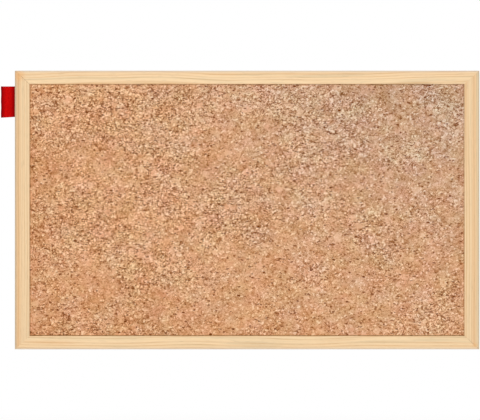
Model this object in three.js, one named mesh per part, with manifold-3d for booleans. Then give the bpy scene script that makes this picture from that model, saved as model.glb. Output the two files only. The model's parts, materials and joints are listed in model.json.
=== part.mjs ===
// Memo board: a sheet of granulated cork on a softboard core, held in a mitred pine frame.
// Lengths are in millimetres. +Z is up and the cork faces -Y.
// The origin is the centre of the frame's rear plane, which meets the wall.

import * as THREE from "three";
import { mergeVertices } from "three/addons/utils/BufferGeometryUtils.js";
import Module from "manifold-3d";

const wasm = await Module();
wasm.setup();

// Board, over the outside of the frame
const boardWidth = 500;
const boardHeight = 300;

// Pine moulding: a square strip with rounded arrises and a step at the back for the panel. The
// stiles, left and right, show a little wider than the rails above and below.
const railWidth = 14.4;
const stileWidth = 16;
const railDepth = 16;
const rabbetWidth = 4.5;
const lipThickness = 3;
const outerArrisRadius = 2.2;
const innerArrisRadius = 0.9;
const rearArrisRadius = 0.6;
const mitreGlueLine = 0.16;

// Panel
const corkThickness = 3;
const coreThickness = 8;
const panelClearance = 0.4;

// Corner nails: a V of corrugated strip across each mitre, driven from the back
const cornerNailLeg = 4.4;
const cornerNailLip = 1;
const cornerNailSheet = 0.5;
const cornerNailHeight = 7;
const cornerNailSink = 0.3;
const cornerNailSpread = THREE.MathUtils.degToRad(38);
const cornerNailApexShare = 0.72;

// Flat points that hold the panel in its step
const pointLength = 15;
const pointWidth = 6;
const pointSheet = 0.5;
const pointTip = 3;
const pointBite = 7;
const pointEndMargin = 60;
const pointsOnRail = 4;
const pointsOnStile = 3;

// Hangers: a strap folded round the straight side of a D-shaped ring
const hangerInset = 6;
const hangerLabelGap = 9.55;
const strapWidth = 7.5;
const strapSheet = 0.75;
const strapFoldGap = 0.15;
const strapEndMargin = 1.2;
const knuckleExit = THREE.MathUtils.degToRad(45);
const ringWire = 1.6;
const ringBoreClearance = 0.15;
const ringSideClearance = 0.1;
const ringCornerRadius = 1.1;
const ringLeg = 5.5;
const ringRestGap = 0.3;

// Hanger screws
const screwHeadDiameter = 5.6;
const screwHeadHeight = 1.9;
const screwDiameter = 2.9;
const screwLength = 12;
const screwPoint = 3;
const screwHoleClearance = 0.25;
const screwHeadGap = 0.6;
const recessWidth = 3.4;
const recessSlot = 0.8;
const recessDepth = 1.1;

// Woven label: a ribbon folded in half, its two tails stapled to the back of the left stile
const labelHeight = 33;
const labelReach = 16.4;
const labelTail = 9;
const labelPly = 0.45;
const labelPlyGap = 0.1;
const labelFoldRadius = 0.8;
const labelBulge = 0.6;
const labelDrop = 32.7;

// Staples through the label's tails
const stapleCrown = 10;
const stapleLeg = 6;
const stapleWire = 0.6;
const stapleWidth = 1.2;
const stapleInset = 4.6;
const staplePitchShare = 0.54;

// Room round whatever is driven into wood or cloth, and how far a cut runs past a face
const driveClearance = 0.1;
const cutOverrun = 1;

// How finely curves are divided
const arrisSteps = 6;
const knuckleSteps = 14;
const ringBowSteps = 18;
const ringCornerSteps = 4;
const wireSides = 10;
const screwSides = 24;
const headSteps = 5;
const labelSteps = 12;
const foldSteps = 8;

// Depths, all measured from the rear plane at y = 0
const corkFrontY = lipThickness - railDepth;
const coreFrontY = corkFrontY + corkThickness;
const coreRearY = coreFrontY + coreThickness;
const labelRearY = labelPly * 2 + labelPlyGap;
const strapRearY = strapSheet * 2 + strapFoldGap;
const knuckleRadius = ringWire / 2 + ringBoreClearance + strapSheet / 2;
const hingeY = strapSheet / 2 + knuckleRadius;

// Places in the plane of the board
const mitreWidth = Math.hypot(railWidth, stileWidth);
const solidMitreShare = 1 - rabbetWidth / Math.min(railWidth, stileWidth);
const ringHalfWidth = strapWidth / 2 + ringSideClearance + ringCornerRadius;
const screwDrop = ringLeg + ringHalfWidth + ringWire / 2 + screwHeadGap + screwHeadDiameter / 2;
const strapDrop = screwDrop + screwHeadDiameter / 2 + strapEndMargin;
const labelZ = boardHeight / 2 - labelDrop;
const ringTopZ = labelZ - labelHeight / 2 - hangerLabelGap;
const hangerZ = ringTopZ - ringWire / 2 - ringHalfWidth - ringLeg;

// The ring stands up as it does on its hook, leaning back until its bow all but meets the wood
const ringLean = Math.asin((hingeY - ringWire / 2 - ringRestGap) / (ringLeg + ringHalfWidth));

const pine = new THREE.MeshStandardMaterial({ color: 0xeecda0, roughness: 0.6, metalness: 0 });
const cork = new THREE.MeshStandardMaterial({ color: 0xd09f79, roughness: 0.9, metalness: 0 });
const softboard = new THREE.MeshStandardMaterial({ color: 0xa98c6b, roughness: 0.95, metalness: 0 });
const zincSteel = new THREE.MeshStandardMaterial({ color: 0xb9bcc0, roughness: 0.35, metalness: 1 });
const redRibbon = new THREE.MeshStandardMaterial({ color: 0xc40d0b, roughness: 0.6, metalness: 0 });

// A closed geometry as a solid that can be cut and joined.
function solidOf(geometry) {
  const bare = geometry.clone();
  bare.deleteAttribute("normal");
  bare.deleteAttribute("uv");
  const merged = mergeVertices(bare);
  const vertProperties = merged.getAttribute("position").array;
  const triVerts = new Uint32Array(merged.index.array);
  return new wasm.Manifold(new wasm.Mesh({ numProp: 3, vertProperties, triVerts }));
}

// A solid as a geometry with flat faces.
function geometryOf(solid) {
  const { vertProperties, triVerts, numProp } = solid.getMesh();
  const indexed = new THREE.BufferGeometry();
  indexed.setAttribute("position", new THREE.BufferAttribute(vertProperties, numProp));
  indexed.setIndex(new THREE.BufferAttribute(triVerts, 1));
  const faceted = indexed.toNonIndexed();
  faceted.computeVertexNormals();
  return faceted;
}

function cutAway(geometry, pockets) {
  const solid = pockets.reduce((rest, pocket) => rest.subtract(solidOf(pocket)), solidOf(geometry));
  return geometryOf(solid);
}

function makeMesh(name, geometry, material) {
  const mesh = new THREE.Mesh(geometry, material);
  mesh.name = name;
  return mesh;
}

function extrude(outline, depth, curveSegments = arrisSteps) {
  return new THREE.ExtrudeGeometry(outline, { depth, curveSegments, bevelEnabled: false });
}

// An outline drawn in the plane of the board, extruded from the depth y = rear towards the front.
function extrudeForward(outline, depth, rear) {
  return extrude(outline, depth).rotateX(Math.PI / 2).translate(0, rear, 0);
}

// A section across a rail, drawn with x inwards from the outer side and y as depth, carried along
// the rail with its middle at the middle of the length.
function extrudeAlongRail(section, length) {
  return extrude(section, length).rotateY(Math.PI / 2).translate(-length / 2, 0, 0);
}

// Points on an arc, both ends included.
function arcPoints(centreX, centreY, radius, from, to, steps) {
  return Array.from({ length: steps + 1 }, (_, i) => {
    const turn = from + ((to - from) * i) / steps;
    return new THREE.Vector2(centreX + radius * Math.cos(turn), centreY + radius * Math.sin(turn));
  });
}

// The outline of a bent strip of even thickness whose middle follows a line of points.
function stripOutline(line, thickness) {
  const offsets = line.map((point, i) => {
    const arriving = i > 0 ? point.clone().sub(line[i - 1]).normalize() : null;
    const leaving = i < line.length - 1 ? line[i + 1].clone().sub(point).normalize() : null;
    const first = arriving ?? leaving;
    const along = first.clone().add(leaving ?? arriving).normalize();
    const across = new THREE.Vector2(-along.y, along.x);
    return across.multiplyScalar(thickness / 2 / along.dot(first));
  });
  const oneSide = line.map((point, i) => point.clone().add(offsets[i]));
  const otherSide = line.map((point, i) => point.clone().sub(offsets[i]));
  return new THREE.Shape([...oneSide, ...otherSide.reverse()]);
}

function mouldingSection(width) {
  const section = new THREE.Shape();
  const outerCentreY = outerArrisRadius - railDepth;
  const innerCentreX = width - innerArrisRadius;
  section.moveTo(width - rabbetWidth, 0);
  section.lineTo(rearArrisRadius, 0);
  section.absarc(rearArrisRadius, -rearArrisRadius, rearArrisRadius, Math.PI / 2, Math.PI, false);
  section.absarc(outerArrisRadius, outerCentreY, outerArrisRadius, Math.PI, Math.PI * 1.5, false);
  section.absarc(innerCentreX, innerArrisRadius - railDepth, innerArrisRadius, -Math.PI / 2, 0, false);
  section.lineTo(width, corkFrontY);
  section.lineTo(width - rabbetWidth, corkFrontY);
  section.closePath();
  return section;
}

// A length of moulding with both ends mitred, longest along its outer side. Each cut runs from the
// frame's outer corner to its inner corner, so its slope follows the next side's width.
function mitredMoulding(length, width, nextWidth) {
  const moulding = extrudeAlongRail(mouldingSection(width), length);
  const position = moulding.getAttribute("position");
  const slope = nextWidth / width;
  const halfJoint = (mitreGlueLine / 2) * Math.hypot(1, slope);
  for (let i = 0; i < position.count; i++) {
    const end = Math.sign(position.getX(i));
    const inwards = -position.getZ(i);
    position.setX(i, end * (length / 2 - inwards * slope - halfJoint));
  }
  moulding.computeVertexNormals();
  return moulding;
}

// A corner nail in plan, for the end of a side that end gives: 1 at +x, -1 at -x. It is
// symmetrical about the mitre, with its apex towards the panel and its lips towards the corner.
function cornerNailOutline({ length, width, nextWidth }, end, room) {
  const outwards = new THREE.Vector2(end * nextWidth, width).normalize();
  const apexDepth = mitreWidth * solidMitreShare * cornerNailApexShare;
  const corner = new THREE.Vector2((end * length) / 2, 0);
  const apex = corner.addScaledVector(outwards, -apexDepth);
  const arm = (side) => {
    const direction = outwards.clone().rotateAround(new THREE.Vector2(), side * cornerNailSpread);
    const bend = apex.clone().addScaledVector(direction, cornerNailLeg);
    return [bend.clone().addScaledVector(outwards, cornerNailLip + room), bend];
  };
  return stripOutline([...arm(1), apex, ...arm(-1).reverse()], cornerNailSheet + room * 2);
}

function cornerNail(size) {
  return extrudeForward(cornerNailOutline(size, 1, 0), cornerNailHeight, -cornerNailSink);
}

function cornerNailPocket(size, end) {
  const depth = cutOverrun + cornerNailSink + cornerNailHeight + driveClearance;
  return extrudeForward(cornerNailOutline(size, end, driveClearance), depth, cutOverrun);
}

// A flat point: it lies on the back of the panel, its tip driven outwards into the wood.
function backingPoint(width, room) {
  const half = pointWidth / 2 + room;
  const tip = pointBite - (width - rabbetWidth) + room;
  const tail = tip - room - pointLength;
  const outline = new THREE.Shape();
  outline.moveTo(-half, tail);
  outline.lineTo(half, tail);
  outline.lineTo(half, tip - pointTip);
  outline.lineTo(0, tip);
  outline.lineTo(-half, tip - pointTip);
  outline.closePath();
  return extrudeForward(outline, pointSheet + room * 2, coreRearY + pointSheet + room);
}

// Places spread evenly along a side, the outer ones a set distance from its ends.
function placesAlong(length, count) {
  const reach = length / 2 - pointEndMargin;
  return Array.from({ length: count }, (_, i) => (count > 1 ? reach * ((2 * i) / (count - 1) - 1) : 0));
}

// A screw along Y with its head's underside on the strap and its point towards the front.
function screwBlank(room) {
  const shank = screwDiameter / 2 + room;
  const pointY = strapRearY - screwLength - room;
  const head = arcPoints(0, 0, 1, 0, Math.PI / 2, headSteps).map(
    ({ x, y }) => new THREE.Vector2((x * screwHeadDiameter) / 2, strapRearY + y * screwHeadHeight),
  );
  const profile = [
    new THREE.Vector2(0, pointY),
    new THREE.Vector2(shank, pointY + screwPoint),
    new THREE.Vector2(shank, strapRearY),
    ...head,
  ];
  return new THREE.LatheGeometry(profile, screwSides);
}

function hangerScrew() {
  const floorY = strapRearY + screwHeadHeight - recessDepth;
  const slot = (width, height) =>
    new THREE.BoxGeometry(width, screwHeadHeight, height).translate(0, floorY + screwHeadHeight / 2, 0);
  return cutAway(screwBlank(0), [slot(recessWidth, recessSlot), slot(recessSlot, recessWidth)]);
}

// The strip's middle line, drawn with x as depth and y as height above the hinge: up against the
// wood, round the ring's bar, and down again on itself.
function strapLine() {
  const rearLeafY = strapRearY - strapSheet / 2;
  const knuckle = arcPoints(hingeY, 0, knuckleRadius, Math.PI, -knuckleExit, knuckleSteps);
  const exit = knuckle[knuckleSteps];
  const fall = (exit.x - rearLeafY) / Math.tan(knuckleExit);
  return [
    new THREE.Vector2(strapSheet / 2, -strapDrop),
    ...knuckle,
    new THREE.Vector2(rearLeafY, exit.y - fall),
    new THREE.Vector2(rearLeafY, -strapDrop),
  ];
}

// The folded strip, its lower end rounded and both leaves pierced for the screw.
function hangerStrap() {
  const depthToY = new THREE.Vector3(0, 1, 0);
  const heightToZ = new THREE.Vector3(0, 0, 1);
  const widthToX = new THREE.Vector3(1, 0, 0);
  const folded = extrude(stripOutline(strapLine(), strapSheet), strapWidth)
    .translate(0, 0, -strapWidth / 2)
    .applyMatrix4(new THREE.Matrix4().makeBasis(depthToY, heightToZ, widthToX));

  const half = strapWidth / 2;
  const top = knuckleRadius + strapSheet;
  const plan = new THREE.Shape();
  plan.moveTo(half + cutOverrun, top);
  plan.lineTo(-half - cutOverrun, top);
  plan.lineTo(-half - cutOverrun, half - strapDrop);
  plan.lineTo(-half, half - strapDrop);
  plan.absarc(0, half - strapDrop, half, Math.PI, Math.PI * 2, false);
  plan.lineTo(half + cutOverrun, half - strapDrop);
  plan.closePath();
  const through = hingeY + knuckleRadius + strapSheet + cutOverrun * 2;
  const rounded = extrude(plan, through, screwSides)
    .rotateX(Math.PI / 2)
    .translate(0, through - cutOverrun, 0);

  const holeRadius = screwDiameter / 2 + screwHoleClearance;
  const hole = new THREE.CylinderGeometry(holeRadius, holeRadius, through * 2, screwSides);
  hole.translate(0, 0, -screwDrop);
  return geometryOf(solidOf(folded).intersect(solidOf(rounded)).subtract(solidOf(hole)));
}

// The ring's centre line: a straight bar on the hinge, two short corners, and a round bow above.
function ringLine() {
  const corner = ringCornerRadius;
  const cornerX = ringHalfWidth - corner;
  return [
    ...arcPoints(cornerX, corner, corner, -Math.PI / 2, 0, ringCornerSteps),
    ...arcPoints(0, ringLeg, ringHalfWidth, 0, Math.PI, ringBowSteps),
    ...arcPoints(-cornerX, corner, corner, Math.PI, Math.PI * 1.5, ringCornerSteps),
  ];
}

// Round wire bent into a closed ring: a circle of points at each station, square to the bend.
function hangerRing() {
  const line = ringLine();
  const count = line.length;
  const positions = line.flatMap((point, i) => {
    const arriving = point.clone().sub(line[(i + count - 1) % count]).normalize();
    const leaving = line[(i + 1) % count].clone().sub(point).normalize();
    const along = arriving.clone().add(leaving).normalize();
    const across = new THREE.Vector2(-along.y, along.x).divideScalar(along.dot(leaving));
    return Array.from({ length: wireSides }, (_, k) => {
      const turn = (k / wireSides) * Math.PI * 2;
      const sideways = (Math.cos(turn) * ringWire) / 2;
      const outOfPlane = (Math.sin(turn) * ringWire) / 2;
      return [point.x + across.x * sideways, outOfPlane, point.y + across.y * sideways];
    }).flat();
  });
  const index = line.flatMap((_, i) => {
    const here = i * wireSides;
    const next = ((i + 1) % count) * wireSides;
    return Array.from({ length: wireSides }, (_, k) => {
      const after = (k + 1) % wireSides;
      return [here + k, next + k, next + after, here + k, next + after, here + after];
    }).flat();
  });
  const ring = new THREE.BufferGeometry();
  ring.setAttribute("position", new THREE.Float32BufferAttribute(positions, 3));
  ring.setIndex(index);
  ring.computeVertexNormals();
  return ring;
}

// A hanger upright on a stile's back, its origin on the wood level with the hinge.
function hanger(name) {
  const group = new THREE.Group();
  const strap = makeMesh(`hanger_strap_${name}`, hangerStrap(), zincSteel);
  const screw = makeMesh(`hanger_screw_${name}`, hangerScrew(), zincSteel);
  const ring = makeMesh(`hanger_ring_${name}`, hangerRing(), zincSteel);
  screw.position.z = -screwDrop;
  ring.position.y = hingeY;
  ring.rotation.x = ringLean;
  return group.add(strap, screw, ring);
}

// A staple across two tails of ribbon: crown along X on their back, legs towards the front.
function staple() {
  const legX = (stapleCrown - stapleWire) / 2;
  const crownY = labelRearY + stapleWire / 2;
  const tipY = labelRearY + stapleWire - stapleLeg;
  const line = [
    new THREE.Vector2(-legX, tipY),
    new THREE.Vector2(-legX, crownY),
    new THREE.Vector2(legX, crownY),
    new THREE.Vector2(legX, tipY),
  ];
  return extrude(stripOutline(line, stapleWire), stapleWidth).translate(0, 0, -stapleWidth / 2);
}

// The holes that a staple's two legs make.
function stapleHoles() {
  const thickness = stapleWire + driveClearance * 2;
  const width = stapleWidth + driveClearance * 2;
  const length = stapleLeg + driveClearance;
  const middleY = labelRearY + stapleWire - driveClearance - length / 2;
  const legX = (stapleCrown - stapleWire) / 2;
  return [-legX, legX].map((x) => new THREE.BoxGeometry(thickness, length, width).translate(x, middleY, 0));
}

// The two staples' places along the label, from its middle.
const staplePitch = labelHeight * staplePitchShare;
const staplePlaces = [-staplePitch / 2, staplePitch / 2];

function stapleHolesAt(along) {
  return staplePlaces.flatMap((place) =>
    stapleHoles().map((hole) => hole.translate(along + place, 0, -stapleInset)),
  );
}

// The ribbon's middle line in plan, x inwards from the stile's outer side: out along the front
// ply, round the fold, and back along the rear ply. The two plies swell apart between their ends.
function labelLine() {
  const middleY = labelRearY / 2;
  const tailHalf = (labelPly + labelPlyGap) / 2;
  const foldX = labelFoldRadius + labelPly / 2 - labelReach;
  const ply = (side) =>
    Array.from({ length: labelSteps }, (_, i) => {
      const out = i / labelSteps;
      const straight = THREE.MathUtils.lerp(tailHalf, labelFoldRadius, out);
      const half = straight + labelBulge * Math.sin(Math.PI * out);
      return new THREE.Vector2(foldX * out, middleY + side * half);
    });
  return [
    new THREE.Vector2(labelTail, middleY - tailHalf),
    ...ply(-1),
    ...arcPoints(foldX, middleY, labelFoldRadius, -Math.PI / 2, -Math.PI * 1.5, foldSteps),
    ...ply(1).reverse(),
    new THREE.Vector2(labelTail, middleY + tailHalf),
  ];
}

// The label and its staples, with the origin on the stile's outer rear edge at the label's middle.
function stapledLabel() {
  const group = new THREE.Group();
  const ribbon = extrudeAlongRail(stripOutline(labelLine(), labelPly), labelHeight);
  group.add(makeMesh("label", cutAway(ribbon, stapleHolesAt(0)), redRibbon));
  ["lower", "upper"].forEach((name, i) => {
    const mesh = makeMesh(`label_staple_${name}`, staple(), zincSteel);
    mesh.position.set(staplePlaces[i], 0, -stapleInset);
    group.add(mesh);
  });
  return group;
}

// The frame's four sides, in order round it. Each is built along its own X, with its outer side at
// z = 0, and turned into place. Its +X end meets the next side at the corner named here, and climb
// is the way that its X runs on a stile: 1 upwards, -1 downwards.
const sides = [
  { name: "top", corner: "top_right", turn: 0, climb: 0 },
  { name: "right", corner: "bottom_right", turn: Math.PI / 2, climb: -1 },
  { name: "bottom", corner: "bottom_left", turn: Math.PI, climb: 0 },
  { name: "left", corner: "top_left", turn: -Math.PI / 2, climb: 1 },
];

function frameSide({ name, corner, turn, climb }) {
  const isStile = climb !== 0;
  const hasLabel = name === "left";
  const length = isStile ? boardHeight : boardWidth;
  const width = isStile ? stileWidth : railWidth;
  const nextWidth = isStile ? railWidth : stileWidth;
  const size = { length, width, nextWidth };
  const places = placesAlong(length, isStile ? pointsOnStile : pointsOnRail);
  const side = new THREE.Group();

  const pockets = [cornerNailPocket(size, 1), cornerNailPocket(size, -1)];
  pockets.push(...places.map((along) => backingPoint(width, driveClearance).translate(along, 0, 0)));
  if (isStile) {
    pockets.push(screwBlank(driveClearance).translate(climb * (hangerZ - screwDrop), 0, -hangerInset));
  }
  if (hasLabel) pockets.push(...stapleHolesAt(climb * labelZ));
  side.add(makeMesh(`frame_${name}`, cutAway(mitredMoulding(length, width, nextWidth), pockets), pine));

  side.add(makeMesh(`corner_nail_${corner}`, cornerNail(size), zincSteel));
  places.forEach((along, i) => {
    const point = makeMesh(`backing_point_${name}_${i + 1}`, backingPoint(width, 0), zincSteel);
    point.position.x = along;
    side.add(point);
  });
  if (isStile) {
    const upright = hanger(name);
    upright.position.set(climb * hangerZ, 0, -hangerInset);
    upright.rotation.y = -turn;
    side.add(upright);
  }
  if (hasLabel) {
    const label = stapledLabel();
    label.position.x = climb * labelZ;
    side.add(label);
  }

  side.position.set((Math.sin(turn) * boardWidth) / 2, 0, (Math.cos(turn) * boardHeight) / 2);
  side.rotation.y = turn;
  return side;
}

// A sheet that drops into the frame's step with a little room all round.
function panelSheet(name, thickness, rear, material) {
  const step = rabbetWidth - panelClearance;
  const halfWidth = boardWidth / 2 - stileWidth + step;
  const halfHeight = boardHeight / 2 - railWidth + step;
  const outline = new THREE.Shape();
  outline.moveTo(-halfWidth, -halfHeight);
  outline.lineTo(halfWidth, -halfHeight);
  outline.lineTo(halfWidth, halfHeight);
  outline.lineTo(-halfWidth, halfHeight);
  outline.closePath();
  return makeMesh(name, extrudeForward(outline, thickness, rear), material);
}

const memoBoard = new THREE.Group();
memoBoard.name = "memo_board";
memoBoard.add(...sides.map(frameSide));
memoBoard.add(panelSheet("cork_sheet", corkThickness, coreFrontY, cork));
memoBoard.add(panelSheet("backing_board", coreThickness, coreRearY, softboard));

export default memoBoard;
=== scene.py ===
"""The looks of a wall memo board: granulated cork in a mitred pine frame, a woven label at its side.

Lengths are in metres. +Z is up, the cork faces -Y, and the origin is the middle of the frame's back.
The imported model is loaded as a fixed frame, and every piece here takes its place from it.
"""

import json
import math

import bpy
import numpy as np
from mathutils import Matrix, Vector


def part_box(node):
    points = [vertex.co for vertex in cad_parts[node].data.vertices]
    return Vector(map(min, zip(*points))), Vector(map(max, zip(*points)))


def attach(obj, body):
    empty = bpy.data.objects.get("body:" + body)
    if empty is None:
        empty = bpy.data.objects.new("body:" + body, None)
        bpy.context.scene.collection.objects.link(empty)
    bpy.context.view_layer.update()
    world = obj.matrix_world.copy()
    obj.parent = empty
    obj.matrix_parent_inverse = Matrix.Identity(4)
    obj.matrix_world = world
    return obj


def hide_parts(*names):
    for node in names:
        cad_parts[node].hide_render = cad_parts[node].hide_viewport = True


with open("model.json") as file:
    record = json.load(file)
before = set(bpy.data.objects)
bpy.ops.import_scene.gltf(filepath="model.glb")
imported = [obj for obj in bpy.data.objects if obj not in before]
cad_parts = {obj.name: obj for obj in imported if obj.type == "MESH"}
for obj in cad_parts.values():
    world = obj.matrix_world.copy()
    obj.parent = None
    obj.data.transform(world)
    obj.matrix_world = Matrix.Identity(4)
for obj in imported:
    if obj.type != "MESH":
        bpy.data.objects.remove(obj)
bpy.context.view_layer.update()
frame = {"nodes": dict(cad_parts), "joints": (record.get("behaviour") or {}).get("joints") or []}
MM = 0.001

bl_info = {
    "name": "Memo Board",
    "version": (1, 0, 0),
    "blender": (4, 5, 0),
    "location": "3D View > Sidebar > Memo Board",
    "description": "Dresses a cork memo board in its finishes and sets it on a pale stage",
    "category": "Object",
}

# The photograph's frame, in its pixels
PHOTO_WIDTH = 480
PHOTO_HEIGHT = 420
BOARD_LEFT_PIXEL = 14.7
BOARD_RIGHT_PIXEL = 479.4
BOARD_MIDDLE_ROW = 210.0

# Where in the endless noise the cork's patches are read from, chosen so that they lie as in the
# photograph: its lighter and darker patches, its tints, its calmer and busier parts, its shading
PATCH_PLACE = (8.88, 0, 0)
PINK_PLACE = (6.61, 0, 0)
STRAW_PLACE = (6.44, 0, 0)
CALM_PLACE = (6.14, 0, 0)
SHADE_PLACE = (7.96, 0, 0)

# Seeds of the relief's granules, of its pits, and of the first side of the frame
GRANULE_SEED = 11
PIT_SEED = 23
FIRST_SIDE_SEED = 3
PIT_CHANCE = 1 / 14

# The rails are cut from wide-ringed wood with a wandering grain, the stiles from straight narrow-
# ringed wood. For each: the axis along the grain and the one across the face, the distance between
# growth rings, where in a ring the late wood starts, how far the grain wanders, how long its streaks
# are, how strongly tints and rings show, how light the wood is, and which colour is painted along
# its outer edge, how far in and how strongly: painted light on the rails, painted shade with a
# little handling wear on the stiles
RAIL = {
    "grain": 0,
    "face": 2,
    "ring": 3 * MM,
    "late_start": 0.5,
    "sway": 15 * MM,
    "streak": 110 * MM,
    "tint_share": 0.5,
    "ring_share": 0.85,
    "lightness": 0.98,
    # Painted light along the rails' outer arris
    "edge": "bleached",
    "edge_reach": 3 * MM,
    "edge_share": 0.6,
}
STILE = {
    "grain": 2,
    "face": 0,
    "ring": 1.9 * MM,
    "late_start": 0.3,
    "sway": 3 * MM,
    "streak": 600 * MM,
    "tint_share": 0.5,
    "ring_share": 0.7,
    "lightness": 0.95,
    # Painted shade, with a little handling wear, along the stiles' outer arris
    "edge": "handled",
    "edge_reach": 4 * MM,
    "edge_share": 0.8,
}

# The four sides of the frame: the way inwards along the face; how far in from the outer edge the
# rosy band's middle lies, how far it reaches from there and how rosy it is; and where resin has
# stained the corner: how far from the frame's middle, sideways and up, and how far it reaches
TOP_LEFT_RESIN = (-246 * MM, 145 * MM, 9 * MM)
BOTTOM_RIGHT_RESIN = (245 * MM, -145.5 * MM, 4.5 * MM)
SIDES = {
    "frame_top": dict(RAIL, inwards=-1, rosy=(3.5 * MM, 4 * MM, 0.2), resin=TOP_LEFT_RESIN),
    "frame_right": dict(STILE, inwards=-1, rosy=(5.8 * MM, 3.2 * MM, 0.7), resin=BOTTOM_RIGHT_RESIN),
    "frame_bottom": dict(RAIL, inwards=1, rosy=(3 * MM, 4 * MM, 0.2), resin=BOTTOM_RIGHT_RESIN),
    "frame_left": dict(STILE, inwards=1, rosy=(2.4 * MM, 5.5 * MM, 0.85), resin=TOP_LEFT_RESIN),
}

# The two mitres that hardly show in the photograph: the filler's name, the stile and the rail
FILLED_MITRES = (
    ("mitre_filler_top_right", "frame_right", "frame_top"),
    ("mitre_filler_bottom_left", "frame_left", "frame_bottom"),
)


def from_screen(red, green, blue):
    """A colour in scene values from the 0 to 255 that a screen shows: its display curve, undone."""
    share = np.array([red, green, blue]) / 255
    return tuple(np.where(share <= 0.04045, share / 12.92, ((share + 0.055) / 1.055) ** 2.4))


def colour_setting(name, description, red, green, blue):
    return bpy.props.FloatVectorProperty(
        name=name,
        description=description,
        default=from_screen(red, green, blue),
        subtype="COLOR",
        size=3,
        min=0,
        max=1,
    )


def length_setting(name, description, default):
    return bpy.props.FloatProperty(
        name=name,
        description=description,
        default=default,
        subtype="DISTANCE",
        unit="LENGTH",
        precision=5,
    )


def power_setting(name, description, default):
    return bpy.props.FloatProperty(name=name, description=description, default=default, unit="POWER")


class CorkSettings(bpy.types.PropertyGroup):
    """Sizes and colours of the granulated cork."""

    granule: length_setting("Granule", "Width of a common granule", 1.5 * MM)
    chip: length_setting("Chip", "Width of the large chips among the granules", 6.0 * MM)
    patch: length_setting("Patch", "Width of the patches of one tint", 17 * MM)
    region: length_setting("Region", "Width of the calmer and the busier regions", 50 * MM)
    spacing: length_setting("Grid", "Distance between the relief's points", 1.19 * MM)
    relief: length_setting("Relief", "Height of the granules over the seams between them", 0.22 * MM)
    pit: length_setting("Pit", "Depth of the pits where a granule has come out", 0.45 * MM)
    rim: length_setting("Rim", "Width of the dusty line along the frame", 1.2 * MM)
    stretch: bpy.props.FloatProperty(
        name="Stretch", description="How much longer granules are across than up", default=1.18
    )
    # The bottoms of the pits take this colour as painted shade; the bark specks are the cork's own
    dark: colour_setting("Bark", "Specks of bark and the bottoms of the pits", 116, 54, 6)
    brown: colour_setting("Brown", "Dark granules and the seams between granules", 185, 125, 76)
    middle: colour_setting("Middle", "The commonest granules", 223, 170, 130)
    pale: colour_setting("Pale", "Light granules", 243, 199, 162)
    light: colour_setting("Light", "The lightest flecks", 255, 220, 185)
    pink: colour_setting("Pink", "The middle colour in a pinkish patch", 228, 163, 126)
    dun: colour_setting("Dun", "The middle colour in a dun patch", 213, 174, 134)
    straw: colour_setting("Straw", "The middle colour in a straw-coloured patch", 222, 170, 118)
    ashy: colour_setting("Ashy", "The middle colour in an ashy patch", 220, 168, 140)
    # Painted shadow: the dark line where the frame's lip shades the cork
    shadowed: colour_setting("Dusty", "The line of dust along the frame", 132, 102, 50)
    tan: colour_setting("Tan", "The middle colour towards the left side", 219, 162, 118)
    cool: colour_setting("Cool", "The middle colour towards the upper right corner", 206, 166, 136)


class PineSettings(bpy.types.PropertyGroup):
    """Sizes and colours of the pine moulding."""

    heart: length_setting("Heart", "Distance from the moulding to the heart of the tree", 60 * MM)
    outer_arris: length_setting("Outer arris", "Radius of the moulding's outer front edge", 2.2 * MM)
    inner_arris: length_setting("Inner arris", "Radius of the moulding's inner front edge", 0.9 * MM)
    filler: length_setting("Filler", "Thickness of the filler in a mitre", 0.14 * MM)
    filler_sink: length_setting("Filler sink", "How far the filler lies behind the face", 0.04 * MM)
    filler_depth: length_setting("Filler depth", "How far back the filler goes", 2.9 * MM)
    early: colour_setting("Early wood", "Pale wood between the rings", 247, 215, 171)
    late: colour_setting("Late wood", "Darker line of each ring", 222, 178, 128)
    rosy: colour_setting("Rosy", "Tint of the pinkish streaks", 239, 194, 144)
    grey: colour_setting("Grey", "Tint of the greenish grey streaks", 227, 201, 160)
    resin: colour_setting("Resin", "Tint of the resin at two corners", 236, 176, 112)
    # Painted shade with a little handling wear along the stiles' outer arrises, and painted light
    # along the rails'
    handled: colour_setting("Handled", "Greyed wood along the stiles' outer edges", 206, 185, 154)
    bleached: colour_setting("Bleached", "Faded wood along the rails' outer edges", 226, 210, 192)


class BackSettings(bpy.types.PropertyGroup):
    """Sizes and colours of the softboard core."""

    fibre: length_setting("Fibre", "Length of the matted fibres", 5 * MM)
    dark: colour_setting("Dark", "Shade between the fibres", 140, 111, 82)
    middle: colour_setting("Middle", "The board's own colour", 172, 142, 109)
    pale: colour_setting("Pale", "Fibres that lie on top", 196, 168, 134)


class SteelSettings(bpy.types.PropertyGroup):
    """Sizes and colours of the zinc-plated fittings."""

    wire: length_setting("Ring wire", "Thickness of the hanger rings' wire", 1.6 * MM)
    corner: length_setting("Ring corner", "Bend radius at the ends of a ring's bar", 1.1 * MM)
    bright: colour_setting("Bright", "Fresh zinc", 214, 216, 220)
    dull: colour_setting("Dull", "Zinc that has gone dull", 170, 172, 174)


class LabelSettings(bpy.types.PropertyGroup):
    """Sizes and colours of the woven label."""

    ply: length_setting("Ply", "Thickness of the ribbon", 0.45 * MM)
    fold: length_setting("Fold", "Radius of the fold's middle line", 0.8 * MM)
    bulge: length_setting("Bulge", "How far each ply swells between frame and fold", 0.6 * MM)
    flare: length_setting("Flare", "How far the fold's lower corner hangs down", 0.9 * MM)
    yarn: length_setting("Yarn", "Distance between the ribbon's yarns", 0.32 * MM)
    red: colour_setting("Red", "The ribbon's colour", 238, 12, 9)
    # Also the painted shade at the ribbon's two ends
    deep: colour_setting("Deep red", "The colour between the yarns and at the creases", 128, 0, 2)


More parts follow.
